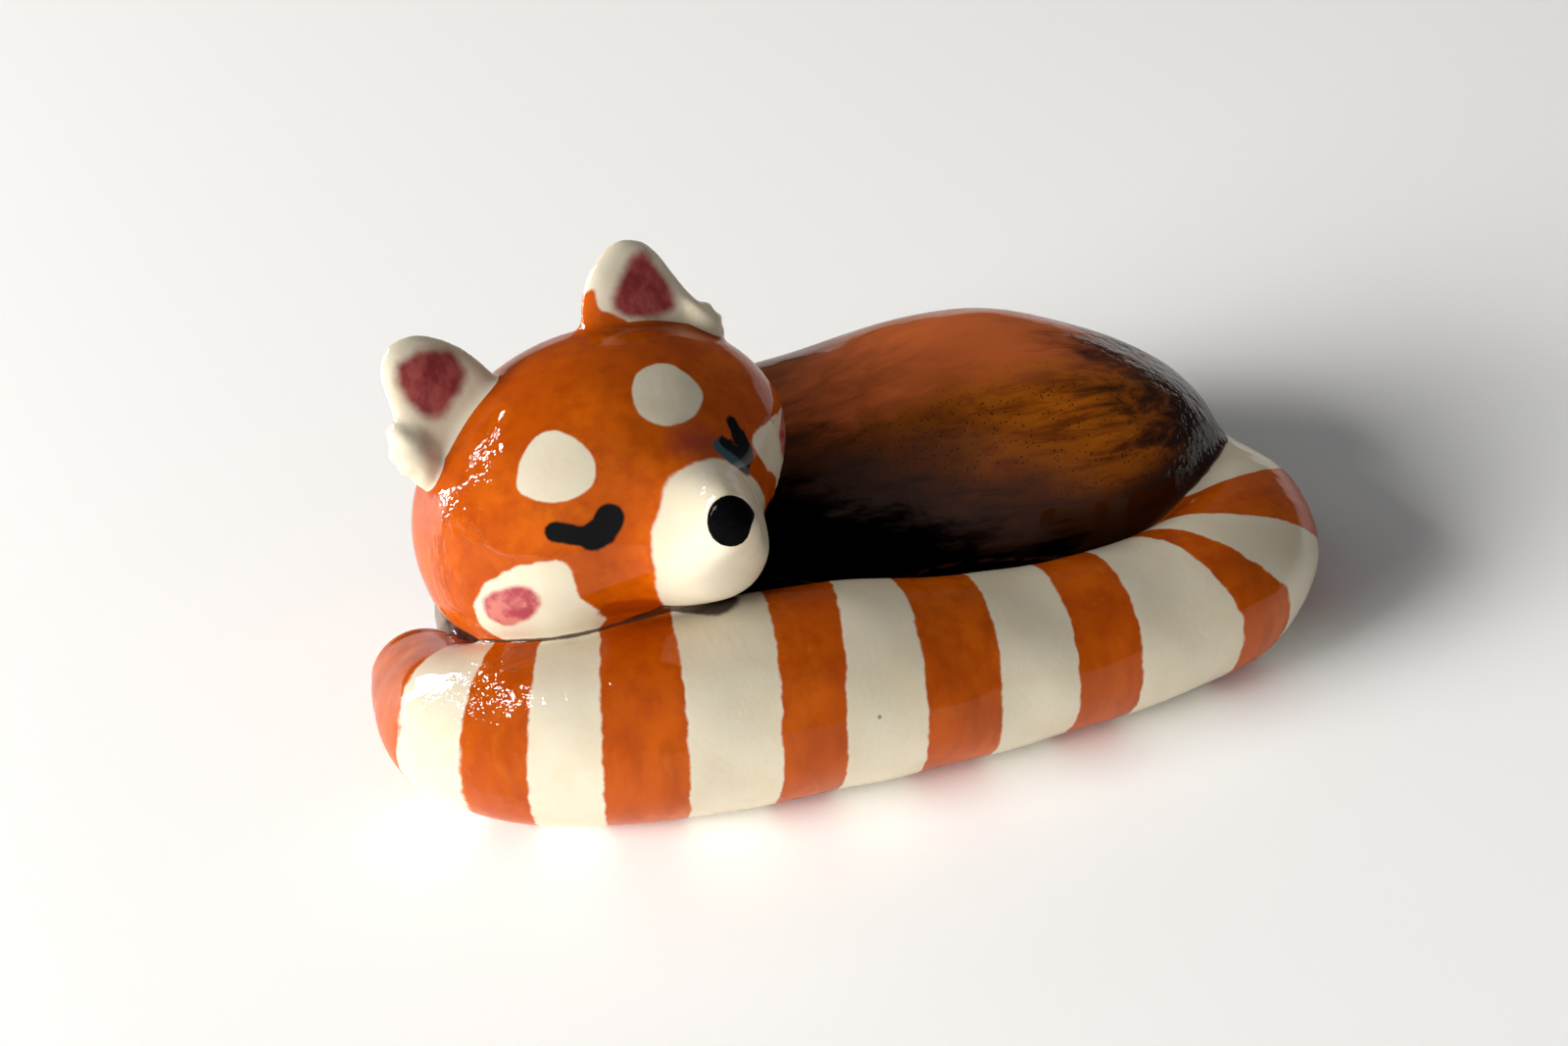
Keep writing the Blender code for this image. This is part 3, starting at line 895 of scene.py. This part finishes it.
def glassy(glaze, wave=WAVE_HEIGHT, peel=None):
    """The unevenness of a hand-dipped clear glaze: slow waves, ripples and a pebbled skin.

    The pebbles are where the peel is above 0, or in scattered patches where no peel is given.
    """
    waves = (glaze.noise(6.0, 1.0), wave)
    fine = (glaze.noise(2.2, 1.0), wave * RIPPLE_SHARE)
    patches = glaze.step(glaze.noise(9.0, 1.0), 0.5, 0.65) if peel is None else glaze.step(peel, -1.0, 1.0)
    pebbles = (glaze.times(glaze.noise(1.1, 2.0), patches), PEBBLE_HEIGHT)
    glaze.bumps([waves, fine, pebbles], "Coat Normal")
    glaze.bumps([waves, (glaze.noise(0.6, 2.0, stretch=(1, 3, 1)), BRUSH_HEIGHT)])


def face_colours(glaze, base):
    colour = glaze.brushed(base, cream_paint(glaze), glaze.measure("brow"), 0.12, 0.15)
    colour = glaze.brushed(colour, cream_paint(glaze), glaze.measure("cheek"), 0.15, 0.35, 1.5)
    blush = glaze.mix(glaze.step(glaze.noise(1.3, 4.0), 0.38, 0.62), BLUSH, BLUSH_DEEP)
    colour = glaze.brushed(colour, blush, glaze.measure("blush"), 0.3, 0.25)
    smear = glaze.step(glaze.measure("rose"), -1.5, 1.5)
    colour = glaze.mix(glaze.times(smear, 0.6), colour, ROSE_DEEP)
    colour = glaze.brushed(colour, ORANGE_DEEP, glaze.measure("ridge"), 0.3, 0.3)
    colour = glaze.brushed(colour, cream_paint(glaze), glaze.measure("muzzle"), 0.15, 0.2, 1.5)
    colour = glaze.brushed(colour, TEAL, glaze.measure("teal"), 0.2, 0.15)
    colour = glaze.brushed(colour, BLACK, glaze.measure("eye"), 0.14, 0.12, 0.8)
    # Painted shade in the crease where the face meets the tail and the body.
    return crease_shaded(glaze, colour, "head_seam")


def crease_shaded(glaze, colour, seam, width=0.4):
    """The crease between two lumps darkened: glaze gathered there, and painted shade of the crease."""
    away = glaze.sum(glaze.measure(seam), glaze.sum(glaze.noise(2.0), -0.5), 0.5)
    dark = glaze.step(away, width, width * 0.3)
    return glaze.mix(glaze.times(dark, 0.9), colour, SPECK_AND_CREASE_SHADE_BROWN)


def head_glaze():
    glaze = Glaze("brushed_orange_glaze")
    glassy(glaze, peel=glaze.measure("peel"))
    return glaze.finished(face_colours(glaze, orange_paint(glaze)))


def snout_glaze():
    glaze = Glaze("brushed_cream_glaze")
    glassy(glaze)
    return glaze.finished(face_colours(glaze, orange_paint(glaze)))


def nose_glaze():
    glaze = Glaze("brushed_black_glaze", coat=0.05)
    glassy(glaze, wave=0.05)
    thin = glaze.step(glaze.noise(0.8), 0.55, 0.8)
    return glaze.finished(glaze.mix(glaze.times(thin, 0.3), BLACK, INK))


def ear_glaze():
    glaze = Glaze("ear_glaze")
    glassy(glaze)
    rose = glaze.mix(glaze.step(glaze.noise(1.2, 4.0, stretch=(1, 1, 2.5)), 0.35, 0.65), ROSE, ROSE_DEEP)
    colour = glaze.brushed(cream_paint(glaze), rose, glaze.measure("pink"), 0.55, 0.35)
    return glaze.finished(glaze.brushed(colour, orange_paint(glaze), glaze.measure("spur"), 0.15, 0.15))


def tuft_glaze():
    glaze = Glaze("tuft_glaze")
    glassy(glaze)
    return glaze.finished(cream_paint(glaze))


def tail_glaze():
    glaze = Glaze("ringed_tail_glaze")
    glassy(glaze, peel=glaze.measure("peel"))
    cream = glaze.mix(glaze.times(glaze.specks(7.0, 0.035), 0.6), cream_paint(glaze), SPECK_AND_CREASE_SHADE_BROWN)
    colour = glaze.brushed(cream, orange_paint(glaze, (1, 1, 3.5)), glaze.measure("band"), 0.13, 0.36, 1.8)
    colour = glaze.brushed(colour, brown_paint(glaze)[0], glaze.measure("root"), 0.3, 0.8, 2.0)
    # Painted shade in the creases under the head and against the body.
    colour = crease_shaded(glaze, colour, "head_seam")
    return glaze.finished(crease_shaded(glaze, colour, "tail_seam"))


# Rust of the back, brightened as painted light: it stands in for the light and sheen on the body's top.
RUST_AND_TOP_LIGHT = (0.86, 0.185, 0.042)
AMBER = (0.58, 0.145, 0.004)
TAWNY = (0.24, 0.048, 0.0025)
# Dark brown of the cloudy glaze, the specks, the paw and the foot, and of the painted shadow of the head at
# the neck.
UMBER_AND_SHADOW_BROWN = (0.050, 0.013, 0.003)
# Near-black brown of the glaze that pools at the rump, and of the painted shade in the crease against the
# tail.
POOLED_AND_CREASE_SHADE = (0.022, 0.007, 0.003)
SOOT = (0.002, 0.001, 0.001)
TAUPE = (0.30, 0.25, 0.20)
RUMP_PEEL = 0.84  # the share along the body past which its glaze is pebbled
RUMP_FADE = 12.0  # how sharply that starts
PAW_BROWN = 2.2  # how far the brown reaches out over the forepaw
CLAY = (0.66, 0.57, 0.46)
CLAY_STAINED = (0.52, 0.40, 0.29)


def brown_paint(glaze):
    """Rust on the back, brighter on top as painted light; streaked amber on the side; dark at the rump;
    painted shade in the crease with the tail; painted shadow of the head at the neck; and black at the foot.

    The body's measures set where each lies, and the wander of the brushed streaks breaks up their edges.
    Gives the colour, and how black it is.
    """
    share, around = glaze.measure("share"), glaze.measure("around")
    streaks = glaze.noise(1.3, 6.0, stretch=(6.0, 1.2, 0.8), rough=0.65, twist=0.4)
    clouds = glaze.noise(7.0, 3.0, stretch=(1.8, 1.0, 0.8))
    wander = glaze.sum(glaze.sum(streaks, -0.5), glaze.sum(clouds, -0.5), 1.0)
    amber = glaze.mix(glaze.step(streaks, 0.38, 0.66), AMBER, TAWNY)
    amber = glaze.mix(glaze.step(clouds, 0.60, 0.84), amber, UMBER_AND_SHADOW_BROWN)
    amber = glaze.mix(glaze.specks(0.5, 0.22), amber, SOOT)
    # The rust on the top of the body, painted brighter as the light and sheen that fall on it.
    top = glaze.sum(around, wander, 0.25)
    colour = glaze.mix(glaze.step(top, 0.60, 0.84), amber, RUST_AND_TOP_LIGHT)
    rump = glaze.sum(share, wander, 0.25)
    colour = glaze.mix(glaze.step(rump, 0.72, 0.92), colour, POOLED_AND_CREASE_SHADE)
    # Darker near the crease with the tail: the glaze pools there, and this is also painted shade of the
    # crease.
    crease_pool_and_shade = glaze.step(glaze.sum(glaze.measure("tail_seam"), wander, 3.0), 5.5, 2.5)
    colour = glaze.mix(glaze.times(crease_pool_and_shade, glaze.step(share, 0.5, 0.75)), colour, POOLED_AND_CREASE_SHADE)
    # Painted shadow of the head, darkening the body towards the neck.
    neck = glaze.step(glaze.sum(share, wander, 0.15), 0.72, 0.44)
    colour = glaze.mix(glaze.times(neck, 0.9), colour, UMBER_AND_SHADOW_BROWN)
    # Umber, then black, towards the foot and the neck end: the black of the foot is paint, and the umber
    # reaching along to the neck is painted shadow of the head.
    shade = glaze.sum(glaze.sum(around, share, 1.85), wander, 0.45)
    shade = glaze.sum(shade, glaze.measure("far"), 0.8)
    colour = glaze.mix(glaze.step(shade, 1.88, 1.45), colour, UMBER_AND_SHADOW_BROWN)
    black = glaze.step(shade, 1.48, 1.30)
    return glaze.mix(black, colour, SOOT), black


def body_glaze():
    glaze = Glaze("shaded_brown_glaze", coat_roughness=0.05)
    glassy(glaze, peel=glaze.sum(-RUMP_PEEL * RUMP_FADE, glaze.measure("share"), RUMP_FADE))
    colour, black = brown_paint(glaze)
    glaze.wire(glaze.shader, **{"Coat Weight": glaze.sum(COAT, black, -COAT)})
    # Painted shade in the crease against the tail.
    return glaze.finished(crease_shaded(glaze, colour, "tail_seam"))


def bare_clay():
    """The fired clay of the foot, rough and unglazed."""
    clay = Glaze("bare_clay", roughness=0.85, coat=0.0)
    clay.bumps([(clay.noise(0.4, 4.0), 0.05)])
    colour = clay.mix(clay.step(clay.noise(3.0), 0.4, 0.7), CLAY, CLAY_STAINED)
    return clay.finished(clay.mix(clay.specks(0.9, 0.15), colour, UMBER_AND_SHADOW_BROWN))


def paw_glaze():
    """Taupe at the toes, under the brown and black brushed down over it from the body."""
    glaze = Glaze("taupe_paw_glaze", coat=0.3)
    glassy(glaze)
    taupe = glaze.mix(glaze.step(glaze.noise(2.5), 0.4, 0.8), TAUPE, UMBER_AND_SHADOW_BROWN)
    out = glaze.measure("out")
    brown = glaze.brushed(SOOT, UMBER_AND_SHADOW_BROWN, out, 1.0, 1.0, 2.0)
    return glaze.finished(glaze.brushed(brown, taupe, glaze.sum(out, -PAW_BROWN), 1.0, 1.0, 2.0))


# --- the object ---

FINISHES = {
    "body": ("brown_glaze", body_glaze, (body_paint, seam_paint)),
    "tail": ("tail_glaze", tail_glaze, (tail_paint, body_paint, seam_paint)),
    "head": ("orange_glaze", head_glaze, (head_paint, seam_paint)),
    "snout": ("white_glaze", snout_glaze, (head_paint, seam_paint)),
    "nose": ("black_glaze", nose_glaze, ()),
    "right_ear": ("white_glaze", ear_glaze, (ear_paint,)),
    "left_ear": ("white_glaze", ear_glaze, (ear_paint,)),
    "right_ear_tuft": ("white_glaze", tuft_glaze, ()),
    "left_ear_tuft": ("white_glaze", tuft_glaze, ()),
    "right_forepaw": ("black_glaze", paw_glaze, (paw_paint,)),
    "left_forepaw": ("black_glaze", body_glaze, (body_paint, seam_paint)),
    "hind_leg": ("black_glaze", body_glaze, (body_paint, seam_paint)),
}


def make_figurine():
    """Every piece, riding on the one body."""
    skin = Skin(hollowed(melt_all()))
    clay = bare_clay()
    made, pieces = {}, []
    for index, node in enumerate(lumps):
        slot, finish, paints = FINISHES[node]
        if not (skin.owner == index).any():
            continue
        piece = piece_from(node + "_glazed", skin, index, paints)
        if finish not in made:
            made[finish] = finish()
        piece.data.materials.append(made[finish])
        piece.data.materials.append(clay)
        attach(piece, "root")
        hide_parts(node)
        pieces.append(piece)
    return pieces


# --- the studio ---

TABLE = (0.97, 0.97, 0.96)
DAYLIGHT = (1.0, 0.985, 0.96)
CAMERA_PLACE = (-53.9, -152.8, 124.0)
CAMERA_TARGET = (-0.7, 16.0, 0.0)
CAMERA_LENS = 49.46


def make_floor():
    bpy.ops.mesh.primitive_plane_add(size=30.0)
    floor = bpy.context.object
    floor.name = "floor"
    material = bpy.data.materials.new("pale_floor")
    material.use_nodes = True
    shader = material.node_tree.nodes["Principled BSDF"]
    shader.inputs["Base Color"].default_value = (*TABLE, 1.0)
    shader.inputs["Roughness"].default_value = 0.6
    floor.data.materials.append(material)
    return floor


def make_light(name, azimuth, elevation, size, power, seen_in_glaze, lit=None):
    """An area light of a width and height, aimed at the object. Azimuth is in degrees from +X towards +Y.

    The soft lights are kept out of the reflections, and the windows are kept to the reflections. Where lit is
    given, the light falls on those objects and on nothing else.
    """
    data = bpy.data.lights.new(name, "AREA")
    data.shape, data.energy = "RECTANGLE", power
    data.size, data.size_y = size
    data.color = DAYLIGHT
    light = bpy.data.objects.new(name, data)
    across, up = math.radians(azimuth), math.radians(elevation)
    way = Vector((math.cos(across) * math.cos(up), math.sin(across) * math.cos(up), math.sin(up)))
    light.location = way * LIGHT_DISTANCE + Vector((0, 0, 0.01))
    light.rotation_euler = way.to_track_quat("Z", "Y").to_euler()
    light.visible_glossy = seen_in_glaze
    light.visible_diffuse = not seen_in_glaze
    bpy.context.scene.collection.objects.link(light)
    if lit:
        only = bpy.data.collections.new("lit_by_" + name)
        for obj in lit:
            only.objects.link(obj)
        light.light_linking.receiver_collection = only


def make_world():
    """A dim room, brighter to the left and in front."""
    world = bpy.data.worlds.new("studio")
    bpy.context.scene.world = world
    world.use_nodes = True
    tree = world.node_tree
    background = tree.nodes["Background"]
    places = tree.nodes.new("ShaderNodeTexCoord")
    bright_side = tree.nodes.new("ShaderNodeVectorMath")
    bright_side.operation = "DOT_PRODUCT"
    bright_side.inputs[1].default_value = Vector((-0.6, -0.7, 0.1)).normalized()
    tree.links.new(places.outputs["Generated"], bright_side.inputs[0])
    ramp = tree.nodes.new("ShaderNodeValToRGB")
    tree.links.new(bright_side.outputs["Value"], ramp.inputs[0])
    low, high = ramp.color_ramp.elements
    low.position, low.color = 0.1, (0.16, 0.16, 0.162, 1)
    high.position, high.color = 1.0, (1.0, 1.0, 1.0, 1)
    tree.links.new(ramp.outputs[0], background.inputs["Color"])
    background.inputs["Strength"].default_value = 0.5


def make_camera():
    data = bpy.data.cameras.new("camera")
    data.lens = CAMERA_LENS
    camera = bpy.data.objects.new("camera", data)
    camera.location = Vector(CAMERA_PLACE) * MM
    target = Vector(CAMERA_TARGET) * MM
    camera.rotation_euler = (camera.location - target).to_track_quat("Z", "Y").to_euler()
    bpy.context.scene.collection.objects.link(camera)
    bpy.context.scene.camera = camera


bpy.context.scene.view_settings.view_transform = "Standard"
make_camera()
figurine = make_figurine()
floor = make_floor()
make_world()
make_light("key", 196, 5, (1.4, 1.1), 91.0, False)
make_light("sun_patch", 189, 20, (1.1, 0.9), 79.0, False, [floor])
make_light("back_light", 80, 34, (1.0, 0.8), 14.0, False, figurine)
make_light("window", 134, 25, (0.7, 0.8), 110.0, True)
make_light("window_edge", 143, 8, (0.22, 0.6), 44.0, True)
tail = [piece for piece in figurine if piece.name.startswith("tail")]
make_light("skylight", 182, 48, (0.5, 0.42), 46.0, True, tail)
